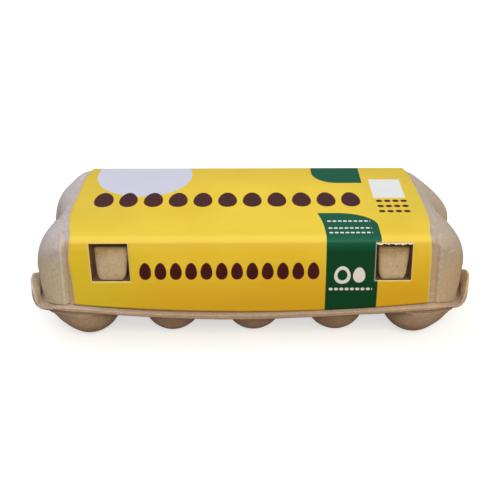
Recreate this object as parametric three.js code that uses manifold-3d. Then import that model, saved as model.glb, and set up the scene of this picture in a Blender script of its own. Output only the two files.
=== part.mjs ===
import * as THREE from 'three';
import { mergeVertices } from 'three/addons/utils/BufferGeometryUtils.js';
import Module from 'manifold-3d';

// Shut moulded pulp carton for ten eggs with a glued paper label, in millimetres.
// Origin at the bottom centre, +X along the carton, +Z up, the front faces -Y.

// Cups
const cupPlaces = [-95.7, -46.4, 1.5, 49.9, 96.5];
const cupRowY = 29;
const footRadius = 5.6;
const cupBall = 17.5;
const endCup = { rowY: 30, foot: 8, ball: 20.2, inner: 0.94, outer: 0.8, flare: 0.5 };
const ballShare = 0.94;
const cupMouth = 21;
const cupTop = 22;
const cupSegments = 26;
const sideFlare = 0.16;

// Plan outline: rounded lobes about four corner axes
const axisX = 98;
const axisY = 27;
const frontSteps = 14;
const cornerSteps = 12;
const endSteps = 8;
const valleyLow = 9;
const valleyHigh = 3;

// Rim between tray and lid
const gap = 0.3;
const partingMid = 22.45;
const partingRise = 4.95;
const archPower = 2;
const rimThickness = 2.4;
const rimRadius = 28.5;
const rimEndRadius = 28.2;
const earRadius = 31.4;
const earTop = 33;
const lipThickness = 1.5;
const lipHeight = 0.4;
const trayWallRadius = 26.6;
const slabBottom = 19.2;
const slabArch = 0.75;
const slabHighest = 21.8;
const earTaper = 2;
const rebateRadius = 22;

// Lid
const lidTop = 66.8;
const lidBase = { front: 24.6, end: 24.2, back: 25 };
const shoulderRadius = { front: 18.9, end: 25.6, back: 22.2 };
const shoulderZ = { front: 63.4, end: 41.4, back: 62.8 };
const cornerTuck = { front: 0.6, back: 2.4 };
const shoulderRun = { front: 4.4, end: 20, back: 4.4 };
const roundPower = { side: 2.2, end: 1.95 };
const panelHalf = 104.6;
const panelStep = 1.2;

// Label
const labelThickness = 0.5;
const labelBottomLift = 0.5;
const labelBackBottom = 35;

// Latches
const latchX = 79.2;
const windowWidth = 20.8;
const windowTop = 64.3;
const windowBottom = 42.6;
const pocketDepth = 6.5;
const buttonThickness = 4.6;
const buttonTopWidth = 18.4;
const buttonFootWidth = 13.5;
const buttonRound = 4;

const wasm = await Module();
wasm.setup();

const mix = (a, b, t) => a + (b - a) * t;

const smooth = (a, b, x) => {
  const t = Math.min(1, Math.max(0, (x - a) / (b - a)));
  return t * t * (3 - 2 * t);
};

// Stations round the outline. Each has an axis point (sx, sy), an outward direction
// (dx, dy), the share of end shape, the share of valley and whether it is at the back.
const station = (sx, sy, dx, dy, turn, valley, back) => ({ sx, sy, dx, dy, turn, valley, back });

const straightSide = (back) => {
  const list = [];
  const sign = back ? 1 : -1;
  for (let i = 0; i < frontSteps; i += 1) {
    const x = sign * mix(axisX, -axisX, i / frontSteps);
    list.push(station(x, sign * axisY, 0, sign, 0, 0, back));
  }
  return list;
};

const corner = (signX, signY, outOfEnd) => {
  const list = [];
  for (let i = 0; i < cornerSteps; i += 1) {
    const step = i / cornerSteps;
    const turn = outOfEnd ? 1 - step : step;
    const angle = turn * Math.PI / 2;
    const dx = signX * Math.sin(angle);
    const dy = signY * Math.cos(angle);
    list.push(station(signX * axisX, signY * axisY, dx, dy, turn, 0, signY > 0));
  }
  return list;
};

const endSide = (signX) => {
  const list = [];
  for (let i = 0; i < endSteps; i += 1) {
    const y = signX * mix(-axisY, axisY, i / endSteps);
    const valley = 0.5 + 0.5 * Math.cos(Math.PI * y / axisY);
    list.push(station(signX * axisX, y, signX, 0, 1, valley, y > 0));
  }
  return list;
};

const stations = [
  ...straightSide(false),
  ...corner(1, -1, false),
  ...endSide(1),
  ...corner(1, 1, true),
  ...straightSide(true),
  ...corner(-1, 1, false),
  ...endSide(-1),
  ...corner(-1, -1, true),
];

// A value that runs from its side figure to its end figure round a corner
const sideToEnd = (figures, at) => {
  const side = at.back ? figures.back : figures.front;
  return mix(side, figures.end, smooth(0, 1, at.turn));
};

const archShare = (at) => Math.pow(Math.abs(at.sx) / axisX, archPower);

// Height of the parting line: arched along the sides, low at the ends
const partingZ = (at) => {
  const rise = partingRise * archShare(at);
  return partingMid + rise * (1 - smooth(0.16, 0.7, at.turn));
};

// The ears stand at the front corners and fall away along the ends
const earShare = (at) => {
  if (at.back) {
    return 0;
  }
  return at.turn < 1 ? smooth(0.55, 0.85, at.turn) : smooth(5, 28, -at.sy);
};

const earReach = (at) => {
  if (at.back) {
    return 0;
  }
  return at.turn < 1 ? smooth(0.1, 0.55, at.turn) : smooth(5, 24, -at.sy);
};

const rimOuter = (at) => {
  const plain = mix(rimRadius, rimEndRadius, smooth(0.4, 1, at.turn));
  return mix(plain, earRadius, earReach(at));
};

const undersideZ = (at) => {
  const arched = slabBottom + slabArch * (partingZ(at) - partingMid);
  return Math.min(arched, slabHighest);
};

const lipTop = (at) => {
  const low = partingZ(at) + lipHeight;
  return mix(low, earTop, earShare(at));
};

const place = (at, radius, z) => {
  const cut = at.valley * mix(valleyLow, valleyHigh, smooth(40, lidTop, z));
  const r = radius - cut;
  return [at.sx + at.dx * r, at.sy + at.dy * r, z];
};

const shrink = (point, scale) => [point[0] * scale, point[1] * scale, point[2]];

// Closed body from rows of points, top to bottom, by moving the vertices of a sphere
const loft = (rows) => {
  const around = stations.length;
  const sphere = new THREE.SphereGeometry(1, around, rows.length + 1);
  const position = sphere.attributes.position;
  const first = rows[0](stations[0])[2];
  const last = rows[rows.length - 1](stations[0])[2];
  for (let k = 0; k < position.count; k += 1) {
    const row = Math.floor(k / (around + 1));
    const column = k % (around + 1);
    if (row === 0) {
      position.setXYZ(k, 0, 0, first);
    } else if (row === rows.length + 1) {
      position.setXYZ(k, 0, 0, last);
    } else {
      position.setXYZ(k, ...rows[row - 1](stations[column % around]));
    }
  }
  return sphere;
};

const toSolid = (geometry) => {
  const bare = geometry.clone();
  bare.deleteAttribute('normal');
  bare.deleteAttribute('uv');
  const merged = mergeVertices(bare, 1e-4);
  const vertProperties = new Float32Array(merged.attributes.position.array);
  const triVerts = new Uint32Array(merged.index.array);
  return new wasm.Manifold(new wasm.Mesh({ numProp: 3, vertProperties, triVerts }));
};

const toGeometry = (solid) => {
  const mesh = solid.getMesh();
  const geometry = new THREE.BufferGeometry();
  const position = new THREE.BufferAttribute(new Float32Array(mesh.vertProperties), 3);
  geometry.setAttribute('position', position);
  geometry.setIndex(new THREE.BufferAttribute(new Uint32Array(mesh.triVerts), 1));
  return geometry;
};

// Tray: a slab with the rim lip and corner ears round it, and ten cups below
const traySlab = () => toSolid(loft([
  (at) => shrink(place(at, rebateRadius, partingMid - gap), 0.5),
  (at) => place(at, rebateRadius, partingMid - gap),
  (at) => place(at, rebateRadius + 0.1, partingZ(at)),
  (at) => place(at, rimOuter(at) - lipThickness, partingZ(at)),
  (at) => place(at, rimOuter(at) - lipThickness, lipTop(at)),
  (at) => place(at, rimOuter(at), lipTop(at)),
  (at) => place(at, rimOuter(at), partingZ(at)),
  (at) => place(at, rimOuter(at) - earTaper * earReach(at), partingZ(at) - rimThickness),
  (at) => place(at, trayWallRadius, partingZ(at) - rimThickness),
  (at) => place(at, trayWallRadius - 0.8, undersideZ(at)),
  (at) => place(at, trayWallRadius - 12, slabBottom),
  (at) => shrink(place(at, trayWallRadius - 12, slabBottom), 0.5),
]));

// Half outline of a cup: flat foot, ball-shaped bottom, nearly upright wall
const cupProfile = (foot, ball) => {
  const sink = ball - Math.sqrt(ball * ball - foot * foot);
  const radii = [0, 0.3, 0.57, 0.8, 1].map((share) => mix(foot, ball * ballShare, share));
  const points = radii.map((radius) => {
    const z = ball - Math.sqrt(ball * ball - radius * radius) - sink;
    return new THREE.Vector2(radius, z);
  });
  const wall = new THREE.Vector2(cupMouth, cupTop);
  return [new THREE.Vector2(0, 0), ...points, wall, new THREE.Vector2(0, cupTop)];
};

// One cup, flaring with height towards the outside of the carton. The end cups are fuller.
const cup = (x, side) => {
  const atEnd = Math.abs(x) > 80;
  const y = side * (atEnd ? endCup.rowY : cupRowY);
  const profile = atEnd ? cupProfile(endCup.foot, endCup.ball) : cupProfile(footRadius, cupBall);
  const lathe = new THREE.LatheGeometry(profile, cupSegments);
  lathe.rotateX(Math.PI / 2);
  const position = lathe.attributes.position;
  for (let k = 0; k < position.count; k += 1) {
    const px = position.getX(k);
    const py = position.getY(k);
    const height = position.getZ(k) / cupTop;
    const endX = px * x > 0 ? endCup.outer + endCup.flare * height : endCup.inner;
    const outY = py * y > 0 ? 1 + sideFlare * height : 1;
    position.setXY(k, x + px * (atEnd ? endX : 1), y + py * outY);
  }
  return toSolid(lathe);
};

const planPrism = () => toSolid(loft([
  (at) => shrink(place(at, trayWallRadius - 0.4, 40), 0.5),
  (at) => place(at, trayWallRadius - 0.4, 40),
  (at) => place(at, trayWallRadius - 0.4, -5),
  (at) => shrink(place(at, trayWallRadius - 0.4, -5), 0.5),
]));

const makeTray = () => {
  let tray = traySlab();
  const prism = planPrism();
  for (const x of cupPlaces) {
    for (const side of [-1, 1]) {
      tray = tray.add(cup(x, side).intersect(prism));
    }
  }
  return tray;
};

// Lid: leaning walls, rounded shoulders and a flat top. The corner lobes stand a
// little proud of the panel that carries the label.
const lobeSwell = (at, radius, z) => {
  const x = Math.abs(at.sx + at.dx * radius);
  const beside = smooth(panelHalf - 1.2, panelHalf + 1.2, x);
  const low = 1 - smooth(59, 65, z);
  return panelStep * beside * low * (1 - smooth(0.2, 0.6, at.turn));
};

const tuck = (at, z) => {
  const most = at.back ? cornerTuck.back : cornerTuck.front;
  return most * Math.pow(Math.sin(Math.PI * at.turn), 2) * smooth(partingMid, lidTop - 8, z);
};

const lidPoint = (at, radius, z) => {
  const swollen = radius + lobeSwell(at, radius, z) - tuck(at, z);
  return place(at, swollen, z);
};

const wallRow = (share) => (at) => {
  const wallTop = sideToEnd(shoulderZ, at);
  const z = mix(partingZ(at) + gap, wallTop, share);
  const climb = (z - partingMid - gap) / (wallTop - partingMid - gap);
  return lidPoint(at, mix(sideToEnd(lidBase, at), sideToEnd(shoulderRadius, at), climb), z);
};

const shoulderRow = (degrees) => (at) => {
  const angle = degrees * Math.PI / 180;
  const power = 2 / mix(roundPower.side, roundPower.end, smooth(0, 1, at.turn));
  const inward = sideToEnd(shoulderRun, at) * (1 - Math.pow(Math.cos(angle), power));
  const startZ = sideToEnd(shoulderZ, at);
  const z = startZ + (lidTop - startZ) * Math.pow(Math.sin(angle), power);
  return lidPoint(at, sideToEnd(shoulderRadius, at) - inward, z);
};

const lidBody = () => toSolid(loft([
  (at) => shrink(shoulderRow(90)(at), 0.5),
  shoulderRow(90),
  shoulderRow(74),
  shoulderRow(58),
  shoulderRow(42),
  shoulderRow(27),
  shoulderRow(13),
  wallRow(1),
  wallRow(0.66),
  wallRow(0.33),
  wallRow(0),
  (at) => place(at, rebateRadius + 0.1 - gap, partingZ(at) + gap),
  (at) => place(at, rebateRadius - gap, partingMid),
  (at) => shrink(place(at, rebateRadius - gap, partingMid), 0.5),
]));

// The front wall is a plane that leans back
const frontClimb = shoulderZ.front - partingMid - gap;
const frontLean = Math.atan2(lidBase.front - shoulderRadius.front, frontClimb);
const frontWallY = (z) => {
  const climb = (z - partingMid - gap) / frontClimb;
  return -axisY - mix(lidBase.front, shoulderRadius.front, climb);
};

// Puts a shape drawn in the wall plane onto the front wall at the latch
const ontoWall = (geometry, side, outward) => {
  const middleZ = (windowTop + windowBottom) / 2;
  geometry.rotateX(Math.PI / 2 - frontLean);
  const y = frontWallY(middleZ) - outward * Math.cos(frontLean);
  const z = middleZ + outward * Math.sin(frontLean);
  geometry.translate(side * latchX, y, z);
  return geometry;
};

const windowHeight = (windowTop - windowBottom) / Math.cos(frontLean);

const windowCutter = (side, depth) => {
  const box = new THREE.BoxGeometry(windowWidth, windowHeight, depth + 4);
  box.translate(0, 0, -(depth - 4) / 2);
  return toSolid(ontoWall(box, side, 0));
};

const makeLid = () => {
  let lid = lidBody();
  for (const side of [-1, 1]) {
    lid = lid.subtract(windowCutter(side, pocketDepth));
  }
  return lid;
};

const buttonShape = () => {
  const top = windowHeight / 2 - 1.5;
  const foot = -windowHeight / 2 + gap;
  const shape = new THREE.Shape();
  shape.moveTo(-buttonTopWidth / 2, top);
  shape.lineTo(-buttonFootWidth / 2 - 1, foot + buttonRound);
  shape.quadraticCurveTo(-buttonFootWidth / 2, foot, -buttonFootWidth / 2 + buttonRound, foot);
  shape.lineTo(buttonFootWidth / 2 - buttonRound, foot);
  shape.quadraticCurveTo(buttonFootWidth / 2, foot, buttonFootWidth / 2 + 1, foot + buttonRound);
  shape.lineTo(buttonTopWidth / 2, top);
  shape.closePath();
  return shape;
};

const makeButton = (side) => {
  const settings = {
    depth: buttonThickness,
    bevelEnabled: true,
    bevelThickness: 0.8,
    bevelSize: 0.6,
    bevelOffset: -0.6,
    bevelSegments: 2,
    curveSegments: 5,
  };
  const button = new THREE.ExtrudeGeometry(buttonShape(), settings);
  return toSolid(ontoWall(button, side, 0.9 + gap - pocketDepth));
};

// Label: a folded sheet over front, top and back, cut to a bowed outline
const sectionPoint = (back, row) => {
  const sign = back ? 1 : -1;
  const point = row(station(0, sign * axisY, 0, sign, 0, 0, back));
  return new THREE.Vector2(point[1], point[2]);
};

const wallFoot = (back, z) => {
  const low = sectionPoint(back, wallRow(0));
  const high = sectionPoint(back, wallRow(1));
  return low.clone().lerp(high, (z - low.y) / (high.y - low.y));
};

const sectionLine = (bottomFront, bottomBack) => {
  const rows = [wallRow(1), ...[20, 40, 60, 90].map(shoulderRow)];
  const front = rows.map((row) => sectionPoint(false, row));
  const back = rows.map((row) => sectionPoint(true, row)).reverse();
  return [wallFoot(false, bottomFront), ...front, ...back, wallFoot(true, bottomBack)];
};

// Moves each point outward, far enough at a bend for the two faces to stay parallel
const offsetLine = (line, distance) => line.map((point, i) => {
  const last = line.length - 1;
  const before = line[Math.min(last, i + 1)].clone().sub(point);
  const after = point.clone().sub(line[Math.max(0, i - 1)]);
  const into = (i === 0 ? before : after).clone().normalize();
  const out = (i === last ? after : before).clone().normalize();
  const along = into.clone().add(out).normalize();
  const reach = distance / Math.sqrt((1 + into.dot(out)) / 2);
  return new THREE.Vector2(point.x - along.y * reach, point.y + along.x * reach);
});

const labelSheet = () => {
  const line = sectionLine(partingMid + gap + labelBottomLift, labelBackBottom);
  const inner = offsetLine(line, gap);
  const outer = offsetLine(line, gap + labelThickness);
  const shape = new THREE.Shape([...inner, ...outer.reverse()]);
  const sheet = new THREE.ExtrudeGeometry(shape, { depth: 220, bevelEnabled: false });
  sheet.translate(0, 0, -110);
  sheet.rotateY(Math.PI / 2);
  sheet.rotateX(Math.PI / 2);
  return toSolid(sheet);
};

const labelOutline = () => {
  const bow = new THREE.SplineCurve([
    new THREE.Vector2(101, -46),
    new THREE.Vector2(103.2, -22),
    new THREE.Vector2(102.8, -4),
    new THREE.Vector2(101.6, 20),
    new THREE.Vector2(99.4, 50),
  ]).getPoints(20);
  const half = [new THREE.Vector2(101, -60), ...bow, new THREE.Vector2(99.4, 64)];
  const mirrored = half.map((p) => new THREE.Vector2(-p.x, p.y)).reverse();
  const shape = new THREE.Shape([...half, ...mirrored]);
  const prism = new THREE.ExtrudeGeometry(shape, { depth: 80, bevelEnabled: false });
  return toSolid(prism);
};

// Everything below the arched lower edge of the label, at the front only
const archCutter = () => {
  const shape = new THREE.Shape();
  shape.moveTo(-120, 0);
  for (let i = 0; i <= frontSteps * 2; i += 1) {
    const x = mix(-112, 112, i / (frontSteps * 2));
    const rise = partingRise * Math.pow(Math.abs(x) / axisX, archPower);
    shape.lineTo(x, partingMid + gap + labelBottomLift + rise);
  }
  shape.lineTo(120, 0);
  shape.closePath();
  const cutter = new THREE.ExtrudeGeometry(shape, { depth: 60, bevelEnabled: false });
  cutter.rotateX(Math.PI / 2);
  return toSolid(cutter);
};

const makeLabel = () => {
  let label = labelSheet().intersect(labelOutline()).subtract(archCutter());
  for (const side of [-1, 1]) {
    label = label.subtract(windowCutter(side, 2));
  }
  return label;
};

const carton = new THREE.Group();
carton.name = 'egg_carton';

const addPart = (name, solid, color, roughness) => {
  const material = new THREE.MeshStandardMaterial({ color, roughness, metalness: 0 });
  material.name = `${name}_material`;
  const mesh = new THREE.Mesh(toGeometry(solid), material);
  mesh.name = name;
  carton.add(mesh);
};

addPart('tray', makeTray(), 0xa89478, 0.95);
addPart('lid', makeLid(), 0xb3a28a, 0.95);
addPart('latch_button_left', makeButton(-1), 0xae9672, 0.95);
addPart('latch_button_right', makeButton(1), 0xae9672, 0.95);
addPart('label', makeLabel(), 0xe0bc3c, 0.6);

export default carton;
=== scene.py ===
import math
from functools import reduce
from types import SimpleNamespace
import bpy
import numpy as np
from mathutils import Matrix, Vector


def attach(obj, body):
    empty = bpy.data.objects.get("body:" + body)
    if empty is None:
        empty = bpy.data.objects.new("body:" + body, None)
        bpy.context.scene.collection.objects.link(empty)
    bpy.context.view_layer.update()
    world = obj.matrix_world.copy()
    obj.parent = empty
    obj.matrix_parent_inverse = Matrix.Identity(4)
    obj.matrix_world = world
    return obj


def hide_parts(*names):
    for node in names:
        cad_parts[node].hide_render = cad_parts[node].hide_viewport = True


# A shut ten-egg carton of moulded pulp with a paper label, seen from the front.
# Shapes are worked out in millimetres and put into the meshes in metres.

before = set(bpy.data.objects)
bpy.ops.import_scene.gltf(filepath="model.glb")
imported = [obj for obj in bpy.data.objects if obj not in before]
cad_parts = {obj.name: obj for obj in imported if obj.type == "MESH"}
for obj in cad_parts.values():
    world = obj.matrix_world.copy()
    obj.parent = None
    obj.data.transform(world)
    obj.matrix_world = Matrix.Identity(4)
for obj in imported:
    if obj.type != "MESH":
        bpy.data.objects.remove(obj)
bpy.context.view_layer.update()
scene = bpy.context.scene
print("frame loaded:", len(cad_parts), "nodes")

carton = {
    "axisX": 98.0, "axisY": 27.0,            # the four corner axes
    "hollowLow": 9.0, "hollowHigh": 3.0,     # depth of the hollow at each end
    "partingMid": 22.45, "partingRise": 4.95,  # arched line between tray and lid
    "sag": 0.4,                              # of that line, at the front on the left
    "gap": 0.3,
}
lidLow = carton["partingMid"] + carton["gap"]    # foot of the lid in the middle
cameraView = {
    "place": (-6.25, -466.0, 303.8), "down": 30.1, "right": 0.74, "roll": 0.14,
    "lens": 874 * 36 / 500,                  # 874 pixels of a 500 pixel frame, 36 mm wide
}


def newObject(name, data):
    made = bpy.data.objects.new(name, data)
    scene.collection.objects.link(made)
    return made


def makeCamera():
    data = bpy.data.cameras.new("camera")
    data.lens, data.sensor_width = cameraView["lens"], 36
    data.clip_start, data.clip_end = 0.01, 50
    camera = newObject("camera", data)
    turn = Matrix.Rotation(-math.radians(cameraView["right"]), 4, "Z")
    turn = turn @ Matrix.Rotation(math.radians(90 - cameraView["down"]), 4, "X")
    turn = turn @ Matrix.Rotation(math.radians(cameraView["roll"]), 4, "Z")
    camera.matrix_world = Matrix.Translation(Vector(cameraView["place"]) / 1000) @ turn
    scene.camera = camera


makeCamera()


# A value that lies a share of the way from a to b
def mix(a, b, share):
    return a + (b - a) * share


# S-shaped step: 0 before a, 1 after b, with a level start and end
def smooth(a, b, x):
    t = np.clip((x - a) / (b - a), 0, 1)
    return t * t * (3 - 2 * t)


# Gentle unevenness between -1 and 1: a sum of sine waves in seeded directions,
# each wave about the given length in millimetres
def unevenness(points, length, seed, waves=9):
    dice = np.random.default_rng(seed)
    turn = dice.normal(size=(waves, 3))
    turn /= np.linalg.norm(turn, axis=1, keepdims=True)
    pace = 2 * np.pi / (length * dice.uniform(0.7, 1.5, waves))
    phase = dice.uniform(0, 2 * np.pi, waves)
    wave = np.sin(points @ (turn * pace[:, None]).T + phase)
    return np.clip(wave.sum(axis=-1) / math.sqrt(waves * 1.6), -1, 1)


# Outward direction at each point of a ring grid: steps down the rows crossed with
# steps along the columns
def outwards(rows):
    along = np.roll(rows, -1, axis=1) - np.roll(rows, 1, axis=1)
    down = np.gradient(rows, axis=0)
    out = np.cross(down, along)
    return out / (np.linalg.norm(out, axis=-1, keepdims=True) + 1e-9)


# Rounds the corners between rows of points: a corner becomes the curve from a point
# before it to a point after it, each at most its reach away, bent by the corner
def roundRows(rows, reaches, cuts=5):
    made = [rows[0]]
    for before, corner, after, reach in zip(rows, rows[1:], rows[2:], reaches[1:]):
        if reach <= 0:
            made.append(corner)
            continue
        into, out = before - corner, after - corner
        intoLong = np.linalg.norm(into, axis=-1, keepdims=True) + 1e-9
        outLong = np.linalg.norm(out, axis=-1, keepdims=True) + 1e-9
        first = corner + into / intoLong * np.minimum(reach, intoLong * 0.48)
        last = corner + out / outLong * np.minimum(reach, outLong * 0.48)
        for t in np.linspace(0, 1, cuts):
            made.append(first * (1 - t) ** 2 + corner * 2 * t * (1 - t) + last * t * t)
    made.append(rows[-1])
    return np.stack(made)


# Faces of a grid of rows and columns; the columns close into a ring if asked
def gridFaces(rowCount, columnCount, ring, first=0):
    row, column = np.meshgrid(np.arange(rowCount - 1),
                              np.arange(columnCount if ring else columnCount - 1), indexing="ij")
    beside = (column + 1) % columnCount
    quads = np.stack([row * columnCount + column, (row + 1) * columnCount + column,
                      (row + 1) * columnCount + beside, row * columnCount + beside], axis=-1)
    return quads.reshape(-1, 4) + first


# Closed skin: a ring of points for each row, and one point to close each end
def ringSkin(rows):
    rowCount, columnCount = rows.shape[:2]
    points = np.concatenate([rows.reshape(-1, 3), rows[0].mean(axis=0)[None],
                             rows[-1].mean(axis=0)[None]])
    faces = gridFaces(rowCount, columnCount, True).tolist()
    column = np.arange(columnCount)
    beside = (column + 1) % columnCount
    last = (rowCount - 1) * columnCount
    total = rowCount * columnCount
    faces += np.stack([np.full(columnCount, total), column, beside], axis=1).tolist()
    faces += np.stack([last + beside, last + column,
                       np.full(columnCount, total + 1)], axis=1).tolist()
    return points, faces


# Puts points in millimetres and faces into a smooth-shaded object
def makePiece(name, points, faces, materials, picks=None):
    mesh = bpy.data.meshes.new(name)
    mesh.from_pydata((points / 1000).tolist(), [], faces)
    for material in materials:
        mesh.materials.append(material)
    if picks is not None:
        mesh.polygons.foreach_set("material_index", np.asarray(picks, dtype=np.int32))
    mesh.polygons.foreach_set("use_smooth", np.ones(len(mesh.polygons), dtype=bool))
    mesh.update()
    piece = newObject(name, mesh)
    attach(piece, "root")
    return piece


# A material with its shader and short calls to add and join nodes
class Maker:
    def __init__(self, name):
        self.material = bpy.data.materials.new(name)
        self.material.use_nodes = True
        self.tree = self.material.node_tree
        self.shader = self.tree.nodes["Principled BSDF"]
        self.place = self.add("TexCoord").outputs["Object"]

    def add(self, kind, settings=None, **inputs):
        node = self.tree.nodes.new("ShaderNode" + kind)
        for key, value in (settings or {}).items():
            setattr(node, key, value)
        for key, value in inputs.items():
            self.feed(node.inputs[key.replace("_", " ")], value)
        return node

    def feed(self, socket, value):
        if isinstance(value, bpy.types.NodeSocket):
            self.tree.links.new(value, socket)
        else:
            socket.default_value = value

    def sum(self, operation, *values):
        node = self.add("Math", {"operation": operation})
        for socket, value in zip(node.inputs, values):
            self.feed(socket, value)
        return node.outputs[0]

    def noise(self, place, scale, detail=2.0, rough=0.5, **more):
        return self.add("TexNoise", Vector=place, Scale=scale, Detail=detail,
                        Roughness=rough, **more).outputs["Fac"]

    # A value moved from one range to another, held at the ends
    def span(self, value, low, high, toLow=0.0, toHigh=1.0, ease=True):
        node = self.add("MapRange", {"interpolation_type": "SMOOTHSTEP" if ease else "LINEAR"})
        for socket, number in zip(list(node.inputs)[:5], (value, low, high, toLow, toHigh)):
            self.feed(socket, number)
        return node.outputs["Result"]

    def blend(self, share, first, second):
        node = self.add("Mix", {"data_type": "RGBA"})
        self.feed(node.inputs["Factor"], share)
        for socket, colour in zip(node.inputs[6:8], (first, second)):
            self.feed(socket, (*colour, 1) if isinstance(colour, tuple) else colour)
        return node.outputs[2]

    def stretch(self, place, scale, turn=(0, 0, 0)):
        return self.add("Mapping", Vector=place, Scale=scale, Rotation=turn).outputs["Vector"]

    def coat(self, tone, rough, gloss=0.5):
        for name, value in (("Base Color", tone), ("Roughness", rough),
                            ("Specular IOR Level", gloss)):
            self.feed(self.shader.inputs[name], value)

    def bump(self, height, distance, strength=1.0):
        node = self.add("Bump", Height=height, Distance=distance, Strength=strength)
        self.tree.links.new(node.outputs["Normal"], self.shader.inputs["Normal"])


# Colour from the 0 to 255 figures of a picture to the light values of the shader
def ink(red, green, blue):
    share = np.array([red, green, blue]) / 255
    light = np.where(share <= 0.04045, share / 12.92, ((share + 0.055) / 1.055) ** 2.4)
    return tuple(float(value) for value in light)


pulp = {
    # painted light: the warm lid colour is warm light towards the right, the high colour is cool
    # light on the lid's tops
    "lid": ink(207, 194, 170), "lidPaintedWarmLight": ink(193, 170, 139), "high": ink(203, 190, 199),
    # painted light and shade: the warm high colour is cool light on the right-hand tops, the ridge
    # colour is a highlight along the ridge and the strip colour is shade beside the label
    "paintedLightHighWarm": ink(185, 168, 159), "paintedRidgeHighlight": ink(226, 216, 206), "paintedStripShade": ink(188, 160, 120),
    # painted light: the ear colours lighten the rim's top and its ears, warm on the right
    "tray": ink(188, 166, 147), "ear": ink(222, 208, 197), "earPaintedWarmLight": ink(230, 198, 155),
    # painted shade: the button's top colour is the shadow under the label's edge, the inside colour
    # is the shade in the pockets behind the windows
    "button": ink(200, 177, 148), "buttonTopPaintedShadow": ink(162, 139, 90), "inside": ink(122, 92, 70),
}
felt = {
    "cloud": 46, "mottle": 520, "grain": 1500, "flecks": 330.0,     # patterns to a metre
    "fibres": [((420, 2600, 2100), (0.3, 0.5, 0.4)), ((2300, 2500, 460), (0.9, -0.3, 1.1))],
    "dark": 0.74, "pale": 1.16, "brown": 0.42,                      # shades of the colour
    "ridgeX": 0.1056,                        # from the middle to the ridge, in metres
    "gloss": 0.22, "relief": 0.00034,
}


# Pulp: fine mottling, short fibres lying two ways, dark and pale specks, and a dull
# felted surface. It may take a painted warm light towards the right, a painted light or
# shadow from a given height up, a painted highlight along the pressed ridge beside the
# label and painted shade between ridge and label.
def makePulp(name, colour, paintedWarmLight=None, high=None, paintedLightHighWarm=None, rise=(0, 1), paintedRidgeHighlight=None,
             paintedStripShade=None, depth=1.0):
    maker = Maker(name)
    place, add, span, blend = maker.place, maker.sum, maker.span, maker.blend
    cloud = maker.noise(place, felt["cloud"], 3.0, 0.55)
    mottle = maker.noise(place, felt["mottle"], 4.0, 0.66)
    grain = maker.noise(place, felt["grain"], 3.0, 0.6)
    fibreOne, fibreTwo = [
        maker.noise(maker.stretch(place, scale, turn), 1.0, 2.0, 0.5, Distortion=1.4)
        for scale, turn in felt["fibres"]]
    spot = maker.add("SeparateXYZ", Vector=place).outputs
    across = span(spot["X"], -0.09, 0.1)
    # painted warm light: the colour turns warmer towards the right
    tone = blend(across, colour, paintedWarmLight) if paintedWarmLight else colour
    # painted light or shadow from a given height up: cool light on the lid's tops, light on the
    # rim's ears, shadow at the button's top
    if high:
        top = blend(across, high, paintedLightHighWarm or high)
        tall = add("MULTIPLY_ADD", cloud, 0.012, spot["Z"])
        tone = blend(span(tall, rise[0] + 0.006, rise[1] + 0.006), tone, top)
    # painted highlight along the ridge beside the label on the front lobes, weaker on the right
    if paintedRidgeHighlight:
        beside = add("SUBTRACT", add("ABSOLUTE", spot["X"]), felt["ridgeX"])
        share = span(add("ABSOLUTE", beside), 0.0011, 0.0003, 0.0, 0.5)
        front = span(spot["Y"], -0.042, -0.046)
        share = add("MULTIPLY", share, add("MULTIPLY_ADD", across, -0.7, 1.0))
        tone = blend(add("MULTIPLY", share, front), tone, paintedRidgeHighlight)
        # painted shade in the strip between the ridge and the label
        share = add("MULTIPLY", span(beside, -0.0006, -0.002, 0.0, 0.65), front)
        tone = blend(share, tone, paintedStripShade)
    dark, pale, brown = [tuple(min(1, value * felt[shade]) for value in colour)
                         for shade in ("dark", "pale", "brown")]
    for pattern, low, full, most, shade in (
            (cloud, 0.35, 0.7, 0.24, dark), (mottle, 0.4, 0.66, 0.5, dark),
            (mottle, 0.48, 0.3, 0.55, pale), (fibreOne, 0.6, 0.78, 0.3, pale),
            (fibreTwo, 0.6, 0.78, 0.34, dark)):
        tone = blend(span(pattern, low, full, 0.0, most), tone, shade)
    spots = maker.add("TexVoronoi", {"feature": "F1"}, Vector=place, Scale=felt["flecks"])
    rare = maker.add("SeparateColor", Color=spots.outputs["Color"]).outputs[0]
    fleck = add("LESS_THAN", spots.outputs["Distance"], span(rare, 0.8, 1.0, 0.0, 0.22))
    tone = blend(add("MULTIPLY", fleck, 0.55), tone, brown)
    maker.coat(tone, span(grain, 0.3, 0.7, 0.86, 1.0), felt["gloss"])
    height = add("MULTIPLY_ADD", mottle, 0.55, grain)
    for fibre in (fibreOne, fibreTwo):
        height = add("MULTIPLY_ADD", fibre, 0.5, height)
    maker.bump(height, felt["relief"] * depth, 0.8)
    return maker.material


# lid: painted warm light, cool light on the tops, a ridge highlight and shade beside the label
lidPulp = makePulp("lidPulp", pulp["lid"], pulp["lidPaintedWarmLight"], pulp["high"], pulp["paintedLightHighWarm"],
                   (0.042, 0.058), pulp["paintedRidgeHighlight"], pulp["paintedStripShade"])
# tray: painted light on the rim's top and ears, warmer on the right
trayPulp = makePulp("trayPulp", pulp["tray"], None, pulp["ear"], pulp["earPaintedWarmLight"],
                    (0.0235, 0.031))
# buttons: painted shadow at the top, under the label's edge
buttonPulp = makePulp("buttonPulp", pulp["button"], None, pulp["buttonTopPaintedShadow"], None,
                      (0.0545, 0.059), depth=1.2)
# darker pulp as painted shade in the pockets behind the windows
paintedShadePulp = makePulp("paintedShadePulp", pulp["inside"])
print("pulp ready")


# Evenly spaced places along the front
def alongFront(count):
    return np.linspace(-carton["axisX"], carton["axisX"], count, endpoint=False)


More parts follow.
